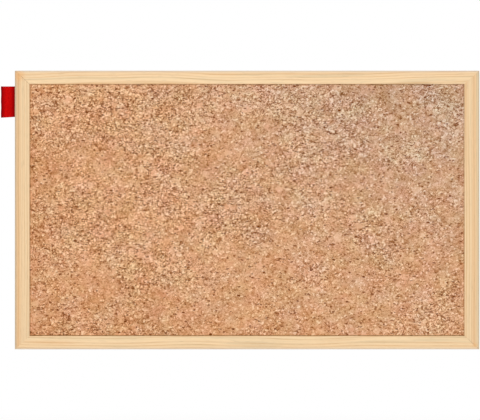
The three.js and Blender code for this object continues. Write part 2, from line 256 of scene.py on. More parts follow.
class StageSettings(bpy.types.PropertyGroup):
    """Where the camera, the lamps and the floor stand."""

    distance: length_setting("Camera distance", "From the camera to the frame's front", 2.63)
    drop: length_setting("Floor", "How far the floor lies below the board's middle", 0.45)
    floor_radius: length_setting("Floor radius", "From the floor's middle to its rim", 3.2)
    floor: colour_setting("Floor colour", "The floor's pale tone", 246, 246, 244)
    sky: bpy.props.FloatProperty(
        name="Studio light",
        description="Strength of the even light from all round",
        default=0.56,
        subtype="FACTOR",
        min=0,
        max=1,
    )
    key: power_setting("Key lamp", "Power of the soft lamp above the camera", 20)
    low: power_setting("Low lamp", "Power of the soft lamp below the camera", 9)
    rear: power_setting("Rear lamp", "Power of the soft lamp behind the board", 14)


class Finish:
    """A material under construction. Each method adds nodes and gives the output that others use."""

    def __init__(self, name):
        self.material = bpy.data.materials.new(name)
        self.material.use_nodes = True
        self.tree = self.material.node_tree
        self.shader = self.tree.nodes["Principled BSDF"]
        self.place = self.add("TexCoord").outputs["Object"]

    def add(self, kind, inputs=(), **settings):
        node = self.tree.nodes.new("ShaderNode" + kind)
        for key, value in settings.items():
            setattr(node, key, value)
        for key, value in dict(inputs).items():
            self.feed(node.inputs[key], value)
        return node

    def feed(self, socket, value):
        if isinstance(value, bpy.types.NodeSocket):
            self.tree.links.new(value, socket)
        else:
            socket.default_value = value

    def mapped(self, vector, scale=(1, 1, 1), shift=(0, 0, 0), turn=(0, 0, 0)):
        inputs = {"Vector": vector, "Scale": scale, "Location": shift, "Rotation": turn}
        return self.add("Mapping", inputs).outputs["Vector"]

    def noise(self, vector, scale=1.0, detail=2.0, roughness=0.5):
        inputs = {"Vector": vector, "Scale": scale, "Detail": detail, "Roughness": roughness}
        return self.add("TexNoise", inputs).outputs["Fac"]

    def noise_vector(self, vector, scale, detail=1.0):
        inputs = {"Vector": vector, "Scale": scale, "Detail": detail}
        return self.add("TexNoise", inputs).outputs["Color"]

    def cells(self, vector, size, feature="F1"):
        return self.add("TexVoronoi", {"Vector": vector, "Scale": 1 / size}, feature=feature).outputs

    def maths(self, operation, *values):
        return self.add("Math", enumerate(values), operation=operation).outputs[0]

    def vector_maths(self, operation, *values):
        return self.add("VectorMath", enumerate(values), operation=operation).outputs[0]

    def total(self, *values, operation="ADD"):
        """The values taken together two by two, by adding them or by another operation."""
        result = values[0]
        for value in values[1:]:
            result = self.maths(operation, result, value)
        return result

    def times(self, *values):
        return self.total(*values, operation="MULTIPLY")

    def minus(self, first, second):
        return self.maths("SUBTRACT", first, second)

    def distance(self, first, second):
        """The length of two sides of a right angle: the root of the sum of their squares."""
        squares = self.maths("MULTIPLY_ADD", first, first, self.times(second, second))
        return self.maths("SQRT", squares)

    def pushed(self, vector, scale, amount):
        """A place pushed to and fro by a noise, by the amount at most."""
        push = self.vector_maths("SUBTRACT", self.noise_vector(vector, scale), (0.5, 0.5, 0.5))
        return self.vector_maths("MULTIPLY_ADD", push, (amount,) * 3, vector)

    def tinted(self, share, colour, tint, base):
        """The colour turned as far as the tint differs from its base, by a share."""
        return self.blend(share, colour, (np.array(tint) / np.array(base)).tolist(), "MULTIPLY")

    def rise(self, value, low, high, to_low=0.0, to_high=1.0):
        """Goes smoothly from to_low to to_high while the value goes from low to high."""
        ends = {"From Min": low, "From Max": high, "To Min": to_low, "To Max": to_high}
        node = self.add("MapRange", {"Value": value, **ends}, interpolation_type="SMOOTHSTEP")
        return node.outputs["Result"]

    def swing(self, value, amount):
        """The value's distance from a half, times an amount: a noise as a push up or down."""
        return self.maths("MULTIPLY_ADD", value, amount, -amount / 2)

    def ramp(self, value, stops):
        node = self.add("ValToRGB", {"Fac": value})
        elements = node.color_ramp.elements
        for place, _ in stops[1:-1]:
            elements.new(place)
        for element, (place, colour) in zip(elements, stops):
            element.position = place
            element.color = (*colour, 1)
        return node.outputs["Color"]

    def blend(self, share, under, over, how="MIX"):
        node = self.add("Mix", data_type="RGBA", blend_type=how, clamp_factor=True)
        self.feed(node.inputs[0], share)
        for socket, colour in ((node.inputs[6], under), (node.inputs[7], over)):
            self.feed(socket, colour if isinstance(colour, bpy.types.NodeSocket) else (*colour, 1))
        return node.outputs[2]

    def grey(self, value):
        return self.add("CombineColor", {"Red": value, "Green": value, "Blue": value}).outputs["Color"]

    def split(self, vector):
        return list(self.add("SeparateXYZ", {"Vector": vector}).outputs)

    def join(self, x, y, z):
        return self.add("CombineXYZ", {"X": x, "Y": y, "Z": z}).outputs["Vector"]

    def attribute(self, name):
        return self.add("Attribute", attribute_name=name).outputs["Fac"]

    def bump(self, height, depth):
        inputs = {"Height": height, "Distance": depth, "Strength": 1.0}
        return self.add("Bump", inputs).outputs["Normal"]

    def close(self, **values):
        """Sets the shader's sockets, which are named as on the shader, and gives the material."""
        for key, value in values.items():
            self.feed(self.shader.inputs[key.replace("_", " ")], value)
        return self.material


def grid_faces(rows, columns, round_columns=False, round_rows=False):
    """Four-sided faces over a grid of points numbered row by row: point, the one above it, the one
    above and beside it, the one beside it. A side that closes on itself is joined round."""
    row, column = np.meshgrid(
        np.arange(rows if round_rows else rows - 1),
        np.arange(columns if round_columns else columns - 1),
        indexing="ij",
    )
    above = (row + 1) % rows
    beside = (column + 1) % columns
    corners = ((row, column), (above, column), (above, beside), (row, beside))
    return np.stack([r * columns + c for r, c in corners], axis=-1).reshape(-1, 4)


def closed_faces(stations, around):
    """Faces of a closed form made of rings of points: its sides and a face over either end. Seen
    from beyond the last ring, the rings run counterclockwise."""
    faces = grid_faces(stations, around, round_columns=True)[:, ::-1].tolist()
    faces.append(list(range(around))[::-1])
    faces.append(list(range((stations - 1) * around, stations * around)))
    return faces


def in_scene(name, data):
    """An object for a mesh, a lamp or a camera, linked into the scene."""
    thing = bpy.data.objects.new(name, data)
    bpy.context.scene.collection.objects.link(thing)
    return thing


def mesh_object(name, points, faces, material):
    """A smooth mesh object from arrays of points and faces."""
    mesh = bpy.data.meshes.new(name)
    mesh.from_pydata(points.reshape(-1, 3).tolist(), [], faces, shade_flat=False)
    mesh.validate()
    mesh.materials.append(material)
    return in_scene(name, mesh)


def make_piece(name, points, faces, material, body):
    """A mesh object with its finish that rides on a CAD body."""
    piece = mesh_object(name, points, faces, material)
    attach(piece, body)
    return piece


def paint_nodes(names, material):
    """Gives CAD nodes a finish in their own material slot."""
    for name in names:
        frame["nodes"][name].material_slots[0].material = material


def nodes_called(*starts):
    return sorted(name for name in frame["nodes"] if name.startswith(starts))


def scattered_cells(x, z, size, seed):
    """For each point of a plane, how far its nearest and second nearest cell centres are, in cell
    sizes, and the nearest one's own random number. The plane is divided into squares, each with one
    centre at a random place in it, so the nine squares round a point hold its nearest centres."""
    across = x / size
    up = z / size
    column = np.floor(across).astype(int)
    row = np.floor(up).astype(int)
    first_column = column.min() - 1
    first_row = row.min() - 1
    squares = (row.max() - first_row + 2, column.max() - first_column + 2)
    random = np.random.default_rng(seed).random((3, *squares))
    nearest = np.full(x.shape, np.inf)
    second = np.full(x.shape, np.inf)
    number = np.zeros(x.shape)
    for row_step in (-1, 0, 1):
        for column_step in (-1, 0, 1):
            r = row + row_step - first_row
            c = column + column_step - first_column
            centre_across = c + first_column + random[0][r, c]
            centre_up = r + first_row + random[1][r, c]
            reach = np.hypot(across - centre_across, up - centre_up)
            nearer = reach < nearest
            second = np.where(nearer, nearest, np.minimum(second, reach))
            number = np.where(nearer, random[2][r, c], number)
            nearest = np.where(nearer, reach, nearest)
    return nearest, second, number


def smooth_step(value, low, high):
    """0 below low, 1 above high, and between them 3t^2 - 2t^3 of the share t of the way."""
    share = np.clip((value - low) / (high - low), 0, 1)
    return share * share * (3 - 2 * share)


def cork_relief(x, z, settings):
    """Height of the cork's face and how much of a pit each point is. A granule is a low dome, 1 at
    its centre and falling with the square of the distance, its own level a little up or down. Where
    the two nearest centres are equally far there is a seam. One granule in fourteen has come out and
    leaves a pit."""
    across = x / settings.stretch
    nearest, second, number = scattered_cells(across, z, settings.granule * 1.5, GRANULE_SEED)
    dome = 1 - nearest**2
    seam = 1 - smooth_step(second - nearest, 0.02, 0.4)
    level = (number - 0.5) * 0.5
    height = settings.relief * (0.5 * dome + level - 0.8 * seam)
    near_pit, _, chance = scattered_cells(across, z, settings.granule * 1.3, PIT_SEED)
    pit = (chance < PIT_CHANCE) * (1 - smooth_step(near_pit, 0.25, 0.62))
    return height - settings.pit * pit, pit


def cork_slab(settings):
    """The cork sheet as a closed slab with granules in relief on its face. The rows of the grid are
    level lines; each runs over the face from left to right and back along the rear in one step.
    Under the frame's lip the face is flat."""
    low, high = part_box("cork_sheet")
    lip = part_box("frame_left")[1].x
    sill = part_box("frame_bottom")[1].z
    columns = round((high.x - low.x) / settings.spacing)
    rows = round((high.z - low.z) / settings.spacing)
    x, z = np.meshgrid(np.linspace(low.x, high.x, columns), np.linspace(low.z, high.z, rows))
    height, pit = cork_relief(x, z, settings)
    inside = np.minimum(np.abs(lip) - np.abs(x), np.abs(sill) - np.abs(z))
    free = smooth_step(inside, 0, settings.granule)
    height = free * height
    face = np.stack([x, low.y - height, z], axis=-1)
    rear = np.stack([x[:, [-1, 0]], np.full((rows, 2), high.y), z[:, [-1, 0]]], axis=-1)
    points = np.concatenate([face, rear], axis=1)
    around = columns + 2
    pit_shade = np.zeros((rows, around))
    pit_shade[:, :columns] = free * pit
    return points, closed_faces(rows, around), pit_shade


def cork_finish(settings):
    """Agglomerated cork: granules of many tones with broken dark seams, flecks of bark, pale flecks
    and a few large chips, in patches of pinkish, dun, straw-coloured and ashy cork. Its contrast
    goes up and down from part to part, and a painted shadow line runs along the frame's lip,
    stronger along the bottom rail. The pits are painted darker, as painted shade in the hollows."""
    cork = Finish("granulated_cork")
    size = settings.granule
    flat = cork.mapped(cork.place, scale=(1 / settings.stretch, 1, 1))
    bent = cork.pushed(flat, 0.9 / size, size * 0.7)

    granules = cork.cells(bent, size)
    granule_tone, granule_hue, granule_kind = cork.split(granules["Color"])
    clods = cork.split(cork.cells(bent, size * 2)["Color"])
    clod_edge = cork.cells(bent, size * 2, "DISTANCE_TO_EDGE")["Distance"]
    chips = cork.split(cork.cells(bent, settings.chip)["Color"])
    chip_edge = cork.cells(bent, settings.chip, "DISTANCE_TO_EDGE")["Distance"]
    fine = cork.noise(flat, 1.9 / size, detail=2.0, roughness=0.6)
    dust = cork.noise(flat, 3.2 / size, detail=1.0)

    def clouds(place, width, detail=2.0):
        return cork.noise(cork.mapped(flat, shift=place), 1 / width, detail=detail)

    patches = clouds(PATCH_PLACE, settings.patch / 2)
    pinkness = clouds(PINK_PLACE, settings.patch)
    strawness = clouds(STRAW_PLACE, settings.patch)
    calmness = clouds(CALM_PLACE, settings.region)
    shading = clouds(SHADE_PLACE, settings.region * 2, detail=1.0)

    across, _, up = cork.split(cork.place)
    low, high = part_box("cork_sheet")
    to_right = cork.rise(across, low.x, high.x)
    to_top = cork.rise(up, low.z, high.z)
    busy = cork.total(
        0.5,
        cork.swing(calmness, -1.0),
        cork.swing(to_top, 0.05),
        cork.swing(to_right, -0.035),
    )
    broken = cork.rise(cork.noise(flat, 0.8 / size), 0.44, 0.62, 0.1, 1.0)
    change = cork.total(
        cork.swing(granule_tone, 0.36),
        cork.swing(clods[0], 0.1),
        cork.swing(fine, 0.8),
        cork.swing(dust, 1.5),
        cork.rise(granule_kind, 0.9, 0.91, 0.0, 0.45),
        cork.times(cork.rise(clod_edge, 0.02, 0.1, -0.18, 0.0), broken),
        0.06,
    )
    contrast = cork.rise(busy, 0.36, 0.64, 0.76, 1.58)
    tone = cork.total(
        cork.maths("MULTIPLY_ADD", change, contrast, 0.409),
        cork.swing(patches, 0.32),
        cork.swing(shading, 0.18),
    )
    chip = cork.rise(chips[0], 0.9, 0.91, 0.0, 0.6)
    chip = cork.times(chip, cork.rise(chip_edge, 0.03, 0.08))
    chip_tone = cork.total(0.55, cork.swing(chips[1], 0.4), cork.swing(fine, 0.3))
    tone = cork.add("Mix", {0: chip, 2: tone, 3: chip_tone}).outputs[0]
    # The pits are painted darker: painted shade in the hollows
    level = cork.maths("MULTIPLY_ADD", cork.attribute("pit"), -0.32, tone)
    colour = cork.ramp(
        level,
        [
            (0.0, settings.dark),
            (0.24, settings.brown),
            (0.5, settings.middle),
            (0.74, settings.pale),
            (1.0, settings.light),
        ],
    )

    to_corner = cork.times(to_right, to_top)
    tints = (
        (cork.rise(pinkness, 0.47, 0.7, 0.0, 0.34), settings.pink),
        (cork.rise(pinkness, 0.53, 0.3, 0.0, 0.34), settings.dun),
        (cork.rise(strawness, 0.47, 0.7, 0.0, 0.34), settings.straw),
        (cork.rise(strawness, 0.53, 0.3, 0.0, 0.34), settings.ashy),
        (cork.times(chip, cork.rise(chips[2], 0.3, 0.7, 0.0, 0.4)), settings.pink),
        (cork.rise(granule_hue, 0.6, 1.0, 0.0, 0.05), settings.pink),
        (cork.rise(granule_kind, 0.4, 0.0, 0.0, 0.05), settings.straw),
        (cork.minus(1.0, to_right), settings.tan),
        (to_corner, settings.cool),
    )
    for share, tint in tints:
        colour = cork.tinted(share, colour, tint, settings.middle)

    drawn = cork.mapped(bent, scale=(0.65, 1, 1.05))
    flake_chance, flake_tone, _ = cork.split(cork.cells(drawn, size * 1.1)["Color"])
    flake_edge = cork.cells(drawn, size * 1.1, "DISTANCE_TO_EDGE")["Distance"]
    bark_share = cork.rise(cork.noise(flat, 0.12 / size), 0.42, 0.66, 0.035, 0.095)
    bark_share = cork.times(bark_share, contrast)
    specks = cork.times(
        cork.maths("LESS_THAN", flake_chance, bark_share),
        cork.rise(flake_edge, 0.03, 0.12),
        cork.rise(flake_tone, 0.0, 1.0, 0.7, 1.0),
    )
    colour = cork.blend(specks, colour, settings.dark)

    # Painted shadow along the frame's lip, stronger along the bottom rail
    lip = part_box("frame_right")[0].x
    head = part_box("frame_top")[0].z
    beside = cork.minus(lip, cork.maths("ABSOLUTE", across))
    below_head = cork.minus(head, up)
    above_sill = cork.maths("ADD", head, up)
    from_frame = cork.maths("MINIMUM", beside, below_head)
    lip_shadow = cork.rise(from_frame, 0.5 * settings.rim, settings.rim, 0.34, 0.0)
    sill_shadow = cork.rise(above_sill, 0.5 * settings.rim, settings.rim, 0.68, 0.0)
    colour = cork.blend(cork.maths("MAXIMUM", lip_shadow, sill_shadow), colour, settings.shadowed)

    height = cork.total(level, cork.times(specks, -0.8))
    return cork.close(
        Base_Color=colour,
        Roughness=cork.rise(fine, 0.3, 0.7, 0.8, 0.95),
        Normal=cork.bump(height, settings.relief / 3),
        Specular_IOR_Level=0.1,
    )


def pine_finish(name, settings, seed):
    """Pine cut along the grain. Growth rings are circles round the tree's heart, which lies beside
    the moulding and behind it; each ring darkens slowly and ends abruptly. The grain wanders along
    the length. A rosy band runs beside the outer edge, the edge itself carries painted light on the
    rails and painted shade with a little wear on the stiles, resin has stained a corner, and the
    back still has the saw's marks."""
    side = SIDES[name]
    low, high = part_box(name)
    outer = (low if side["inwards"] > 0 else high)[side["face"]]
    lean, slope, start = np.random.default_rng(seed).uniform(-1, 1, 3)

    wood = Finish(name + "_pine")
    parts = wood.split(wood.place)
    from_outer = wood.minus(parts[side["face"]], outer)
    across = wood.times(from_outer, side["inwards"])
    length = wood.maths("ADD", parts[side["grain"]], 10.0 * seed)
    straight = wood.join(length, across, parts[1])
    wander = wood.noise(wood.mapped(straight, scale=(6, 12, 12)), detail=1.0)
    climb = wood.times(parts[side["grain"]], slope * 0.006)
    drift = wood.total(across, wood.swing(wander, side["sway"]), climb)
    along = wood.join(length, drift, parts[1])

    beside = wood.minus(drift, math.copysign(settings.heart, lean))
    behind = wood.minus(parts[1], settings.heart * (0.3 + 0.4 * abs(lean)))
    growth = wood.maths("DIVIDE", wood.distance(beside, behind), side["ring"])
    uneven = wood.noise(wood.join(0.0, wood.times(growth, 0.3), seed), detail=1.0)
    share = wood.maths("FRACT", wood.total(growth, wood.swing(uneven, 2.5), start))
    into_late = wood.rise(share, side["late_start"], 0.9)
    late = wood.times(into_late, wood.rise(share, 0.93, 1.0, 1.0, 0.0))

    fibre = wood.noise(wood.mapped(along, scale=(14, 1500, 1500)), detail=3.0, roughness=0.6)
    streak = wood.noise(wood.mapped(along, scale=(3 / side["streak"], 480, 480)), detail=2.0)
    bands = wood.noise(wood.mapped(along, scale=(1 / side["streak"], 190, 190)), detail=1.0)
    ducts = wood.noise(wood.mapped(along, scale=(110, 2600, 2600)), detail=0.0)

    weak = 0.25 * side["ring_share"]
    dark = wood.times(late, wood.rise(streak, 0.3, 0.7, weak, side["ring_share"]))
    colour = wood.blend(dark, settings.early, settings.late)
    rosy_place, rosy_reach, rosy_share = side["rosy"]
    from_rosy = wood.maths("ABSOLUTE", wood.minus(across, rosy_place))
    near_rosy = wood.rise(from_rosy, 0.2 * rosy_reach, rosy_reach, rosy_share, 0.0)
    rosy = wood.maths("MAXIMUM", wood.rise(bands, 0.55, 0.75, 0.0, side["tint_share"]), near_rosy)
    colour = wood.tinted(rosy, colour, settings.rosy, settings.early)
    greyed = wood.rise(bands, 0.47, 0.36, 0.0, side["tint_share"])
    colour = wood.tinted(greyed, colour, settings.grey, settings.early)
    shade = wood.total(side["lightness"], wood.swing(fibre, 0.22), wood.swing(streak, 0.12))
    shade = wood.minus(shade, wood.rise(ducts, 0.68, 0.76, 0.0, 0.12))
    colour = wood.blend(1.0, colour, wood.grey(shade), "MULTIPLY")
    # The outer arris: painted light on the rails, painted shade with a little wear on the stiles
    edge_light_and_shade = getattr(settings, side["edge"])
    painted_edge_share = wood.rise(across, 0.0, side["edge_reach"], side["edge_share"], 0.0)
    near_front = wood.rise(parts[1], low.y + 3.5 * MM, low.y + 7 * MM, 1.0, 0.3)
    colour = wood.blend(wood.times(painted_edge_share, near_front), colour, edge_light_and_shade)
    resin_x, resin_z, resin_reach = side["resin"]
    sideways = wood.minus(parts[0], resin_x)
    upwards = wood.minus(parts[2], resin_z)
    from_resin = wood.total(wood.distance(sideways, upwards), wood.swing(bands, resin_reach))
    soaked = wood.rise(from_resin, 0.1 * resin_reach, resin_reach, 0.55, 0.0)
    colour = wood.blend(soaked, colour, settings.resin)

    sawn = wood.rise(parts[1], -0.0007, -0.0001)
    saw_marks = wood.noise(wood.mapped(along, scale=(420, 40, 40)), detail=2.0)
    rough = wood.times(sawn, wood.rise(saw_marks, 0.4, 0.65, 0.05, 0.3))
    colour = wood.blend(rough, colour, settings.late)
    height = wood.total(
        wood.times(late, 0.35),
        wood.swing(fibre, 0.9),
        wood.times(sawn, saw_marks, 3.0),
    )
    return wood.close(
        Base_Color=colour,
        Roughness=wood.rise(fibre, 0.3, 0.7, 0.5, 0.64),
        Normal=wood.bump(height, 0.06 * MM),
        Specular_IOR_Level=0.25,
    )


def mitre_filler(stile, rail, settings):
    """Wood filler rubbed into a mitre: a thin upright film along the line from the frame's outer
    corner to its inner corner. Its front follows the moulding's face, flat and falling away in a
    quarter circle at either arris, and lies a hair behind it."""
    stile_low, stile_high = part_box(stile)
    rail_low, rail_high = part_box(rail)
    stile_sides = (stile_low.x, stile_high.x)
    rail_sides = (rail_low.z, rail_high.z)
    outer = np.array([max(stile_sides, key=abs), max(rail_sides, key=abs)])
    inner = np.array([min(stile_sides, key=abs), min(rail_sides, key=abs)])
    stations = 60
    share = np.linspace(0.01, 0.99, stations)
    face = rail_high.z - rail_low.z
    fall = np.zeros(stations)
    for reach, radius in ((share, settings.outer_arris), (1 - share, settings.inner_arris)):
        rest = np.clip(radius - reach * face, 0, radius)
        fall = np.maximum(fall, radius - np.sqrt(radius**2 - rest**2))
    front = stile_low.y + settings.filler_sink + fall
    rear = np.full(stations, stile_low.y + settings.filler_depth)
    line = outer + share[:, None] * (inner - outer)
    across = np.array([inner[1] - outer[1], outer[0] - inner[0]])
    across *= settings.filler / 2 / np.linalg.norm(across)
    sides = np.array([-1, 1, 1, -1])[:, None] * across
    plan = line[:, None] + sides[None]
    depth = np.stack([front, front, rear, rear], axis=-1)
    points = np.stack([plan[..., 0], depth, plan[..., 1]], axis=-1)
    return points, closed_faces(stations, len(sides))


def softboard_finish(settings):
    """Pressed wood fibre: a felt of thin curled fibres, lying every way, over a mottled ground."""
    board = Finish("pressed_fibre")
    curled = board.pushed(board.place, 1 / settings.fibre, settings.fibre * 0.7)
    fibres_long = (1 / settings.fibre, 2400, 2400)
    mats = []
    for turn in (0.2, 0.9, 1.7, 2.6):
        turned = board.mapped(curled, turn=(0, turn, 0))
        mats.append(board.noise(board.mapped(turned, scale=fibres_long), detail=2.0))
    felt = board.times(board.total(*mats), 0.25)
    top = board.total(*mats, operation="MAXIMUM")
    mottle = board.noise(board.place, 90, detail=3.0)
    grain = board.noise(board.place, 1300, detail=2.0)
    level = board.total(
        0.5,
        board.swing(felt, 1.6),
        board.rise(top, 0.58, 0.85, 0.0, 0.5),
        board.swing(mottle, 0.4),
        board.swing(grain, 0.5),
        -0.1,
    )
    colour = board.ramp(level, [(0.0, settings.dark), (0.5, settings.middle), (1.0, settings.pale)])
    return board.close(
        Base_Color=colour,
        Roughness=board.rise(grain, 0.3, 0.7, 0.82, 0.95),
        Normal=board.bump(board.total(top, board.swing(grain, 0.5)), 0.15 * MM),
        Specular_IOR_Level=0.15,
    )


def zinc_finish(settings):
    """Zinc-plated steel: a fine spangle, dull patches, and scratches across the fittings."""
    zinc = Finish("zinc_plate")
    spangle = zinc.split(zinc.cells(zinc.place, 0.9 * MM)["Color"])[0]
    patches = zinc.noise(zinc.place, 260, detail=3.0)
    drawn = zinc.mapped(zinc.place, scale=(260, 900, 5200), turn=(0.4, 0.2, 0.5))
    scratches = zinc.noise(drawn, detail=2.0)
    dull = zinc.total(
        zinc.rise(patches, 0.35, 0.7, 0.0, 0.8),
        zinc.swing(spangle, 0.3),
        zinc.swing(scratches, 0.3),
    )
    colour = zinc.blend(dull, settings.bright, settings.dull)
    roughness = zinc.total(
        0.3,
        zinc.swing(patches, 0.3),
        zinc.swing(scratches, 0.2),
        zinc.swing(spangle, 0.08),
    )
    height = zinc.total(zinc.swing(scratches, 1.0), zinc.swing(patches, 0.6))
    normal = zinc.bump(height, 0.02 * MM)
    return zinc.close(Base_Color=colour, Roughness=roughness, Normal=normal, Metallic=1.0)


def arc(centre_across, centre_up, radius, start, end, steps):
    """Points on an arc in a plane: its centre plus the radius times cosine and sine."""
    turn = np.linspace(start, end, steps)
    across = centre_across + radius * np.cos(turn)
    up = centre_up + radius * np.sin(turn)
    return np.stack([across, up], axis=-1)


def ring_wire(node, hinge, settings):
    """The D-shaped ring of round wire: a circle carried round a line of a straight bar, two short
    corners, two legs and a half-round bow. The line lies in a plane that leans on the hinge, as the
    CAD ring does, and its size comes from that ring's box."""
    low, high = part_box(node)
    wire = settings.wire / 2
    half = (high.x - low.x) / 2 - wire
    rise = high.z - hinge[2] - wire
    back = hinge[1] - low.y - wire
    reach = math.hypot(rise, back)
    lean = math.atan2(back, rise)
    corner = settings.corner
    side = half - corner
    leg = reach - half
    bow_steps = 48
    bar_steps = 24
    leg_steps = 10
    up_leg = np.linspace(corner, leg, leg_steps)[1:-1]
    edge = np.full(len(up_leg), half)
    line = np.concatenate(
        [
            arc(side, corner, corner, -math.pi / 2, 0, leg_steps)[1:],
            np.stack([edge, up_leg], axis=-1),
            arc(0, leg, half, 0, math.pi, bow_steps),
            np.stack([-edge, up_leg[::-1]], axis=-1),
            arc(-side, corner, corner, math.pi, math.pi * 1.5, leg_steps)[:-1],
            np.stack([np.linspace(-side, side, bar_steps), np.zeros(bar_steps)], axis=-1),
        ]
    )
    along = np.roll(line, -1, axis=0) - np.roll(line, 1, axis=0)
    along /= np.linalg.norm(along, axis=1, keepdims=True)
    outwards = np.stack([along[:, 1], -along[:, 0]], axis=-1)
    turn = np.linspace(0, 2 * math.pi, 24, endpoint=False)
    flat = line[:, None] + wire * np.cos(turn)[None, :, None] * outwards[:, None]
    out = wire * np.sin(turn)[None, :] + np.zeros((len(line), 1))
    x = hinge[0] + flat[..., 0]
    y = hinge[1] - flat[..., 1] * math.sin(lean) + out * math.cos(lean)
    z = hinge[2] + flat[..., 1] * math.cos(lean) + out * math.sin(lean)
    faces = grid_faces(len(line), len(turn), round_columns=True, round_rows=True)[:, ::-1]
    return np.stack([x, y, z], axis=-1), faces.tolist()


def label_line(settings):
    """The ribbon's middle line in plan, with the length run so far. It leaves the stile's back along
    the front ply, turns round the fold and comes back along the rear ply. Between frame and fold
    each ply swells by the sine of its share of the way."""
    low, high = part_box("label")
    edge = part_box("frame_left")[0].x
    middle = (high.y + low.y) / 2
    fold_x = low.x + settings.fold + settings.ply / 2
    tail = middle - settings.ply / 2
    share = np.linspace(0, 1, 40)
    half = tail + (settings.fold - tail) * share**1.5 + settings.bulge * np.sin(math.pi * share)
    ply_x = edge + (fold_x - edge) * share
    tail_x = np.linspace(high.x, edge, 16)[:-1]
    fold = arc(fold_x, middle, settings.fold, -math.pi / 2, -math.pi * 1.5, 24)[1:-1]
    front = np.concatenate(
        [
            np.stack([tail_x, np.full(len(tail_x), middle - tail)], axis=-1),
            np.stack([ply_x, middle - half], axis=-1),
        ]
    )
    rear = front[::-1] * [1, -1] + [0, 2 * middle]
    line = np.concatenate([front, fold, rear])
    steps = np.linalg.norm(np.diff(line, axis=0), axis=1)
    return line, np.concatenate([[0], np.cumsum(steps)])


def label_ribbon(settings):
    """The ribbon: its cross-section, a flat strip with round selvedges a little thicker than the
    cloth, carried along the folded line. Towards the fold the lower edge hangs down by the flare,
    and the cloth ripples by a small sine of its height."""
    low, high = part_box("label")
    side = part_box("frame_left")[0].x
    line, run = label_line(settings)
    along = np.gradient(line, axis=0)
    along /= np.linalg.norm(along, axis=1, keepdims=True)
    across = np.stack([-along[:, 1], along[:, 0]], axis=-1)
    tall = high.z - low.z
    up = np.linspace(0, 1, 60)
    edge_distance = np.minimum(up, 1 - up) * tall
    selvedge = np.exp(-(((edge_distance - 0.5 * MM) / (0.35 * MM)) ** 2))
    rounding = np.sqrt(np.clip(edge_distance / (0.25 * MM), 0.02, 1))
    thick = settings.ply / 2 * (0.82 + 0.18 * selvedge) * rounding
    section_up = np.concatenate([up, up[::-1]])[None]
    section_out = np.concatenate([thick, -thick[::-1]])[None]
    outside = np.clip((side - line[:, 0]) / (side - low.x), 0, 1)[:, None]
    ripple = 0.12 * MM * np.sin(2 * math.pi * (section_up * 2.3 + outside)) * outside
    offset = section_out + ripple
    sag = settings.flare * outside * (1 - section_up)
    plan = line[:, None] + across[:, None] * offset[..., None]
    points = np.dstack([plan, low.z + section_up * tall - sag])
    weave = np.dstack(np.broadcast_arrays(run[:, None], section_up * tall))
    return points, closed_faces(*offset.shape), weave.reshape(-1, 2), run[-1], tall


def ribbon_finish(settings):
    """Close-woven ribbon: ribs of weft up and down it, crossed by fine warp in a twill step. Towards
    the fold and towards the frame the red is painted deeper, as painted shade where the ribbon curls
    away and where the stile shades it.
    """
    ribbon = Finish("red_ribbon")
    weave = ribbon.add("UVMap", uv_map="weave").outputs["UV"]
    run, up, _ = ribbon.split(weave)
    wave = 2 * math.pi / settings.yarn
    warp = ribbon.maths("SINE", ribbon.times(up, wave))
    twill = ribbon.maths("MULTIPLY_ADD", run, wave * 0.8, ribbon.times(up, wave * 0.5))
    weft = ribbon.maths("SINE", twill)
    yarns = ribbon.maths("MULTIPLY_ADD", warp, 0.25, ribbon.maths("MULTIPLY_ADD", weft, 0.25, 0.5))
    slub = ribbon.noise(ribbon.mapped(weave, scale=(900, 60, 1)), detail=2.0)
    fuzz = ribbon.noise(weave, 1500, detail=2.0)
    cloud = ribbon.noise(weave, 420, detail=2.0)
    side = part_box("frame_left")[0].x
    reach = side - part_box("label")[0].x
    out = ribbon.minus(side, ribbon.split(ribbon.place)[0])
    # Painted shade towards both ends: where the fold curls away and where the stile shades the ribbon
    end_shade = ribbon.times(
        ribbon.rise(ribbon.maths("ABSOLUTE", out), 0.0, 0.42 * reach, 0.05, 1.0),
        ribbon.rise(out, 0.65 * reach, reach, 1.0, 0.1),
    )
    shade = ribbon.total(
        ribbon.rise(yarns, 0.1, 0.9, 0.3, 0.9),
        ribbon.swing(slub, 0.4),
        ribbon.swing(fuzz, 0.3),
        ribbon.swing(cloud, 0.4),
    )
    colour = ribbon.blend(ribbon.times(shade, end_shade), settings.deep, settings.red)
    return ribbon.close(
        Base_Color=colour,
        Roughness=ribbon.rise(fuzz, 0.3, 0.7, 0.75, 0.9),
        Normal=ribbon.bump(ribbon.total(yarns, ribbon.swing(fuzz, 0.5)), 0.06 * MM),
        Specular_IOR_Level=0.04,
    )


class MEMOBOARD_OT_cork(bpy.types.Operator):
    """Build the cork sheet with its granules in relief"""

    bl_idname = "memo_board.cork"
    bl_label = "Cork Sheet"
    bl_options = {"REGISTER", "UNDO"}

    def execute(self, context):
        settings = context.scene.memo_cork
        points, faces, pit_shade = cork_slab(settings)
        piece = make_piece("granulated_cork", points, faces, cork_finish(settings), "board")
        piece.data.attributes.new("pit", "FLOAT", "POINT").data.foreach_set("value", pit_shade.ravel())
        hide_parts("cork_sheet")
        return {"FINISHED"}


class MEMOBOARD_OT_frame(bpy.types.Operator):
    """Give each side of the frame its own length of pine and fill two of its mitres"""

    bl_idname = "memo_board.frame"
    bl_label = "Pine Frame"
    bl_options = {"REGISTER", "UNDO"}

    def execute(self, context):
        settings = context.scene.memo_pine
        finishes = {}
        for seed, name in enumerate(SIDES, start=FIRST_SIDE_SEED):
            finishes[name] = pine_finish(name, settings, seed)
            paint_nodes([name], finishes[name])
        for name, stile, rail in FILLED_MITRES:
            points, faces = mitre_filler(stile, rail, settings)
            film = make_piece(name, points, faces, finishes[stile], "board")
            film.data.shade_flat()
        return {"FINISHED"}


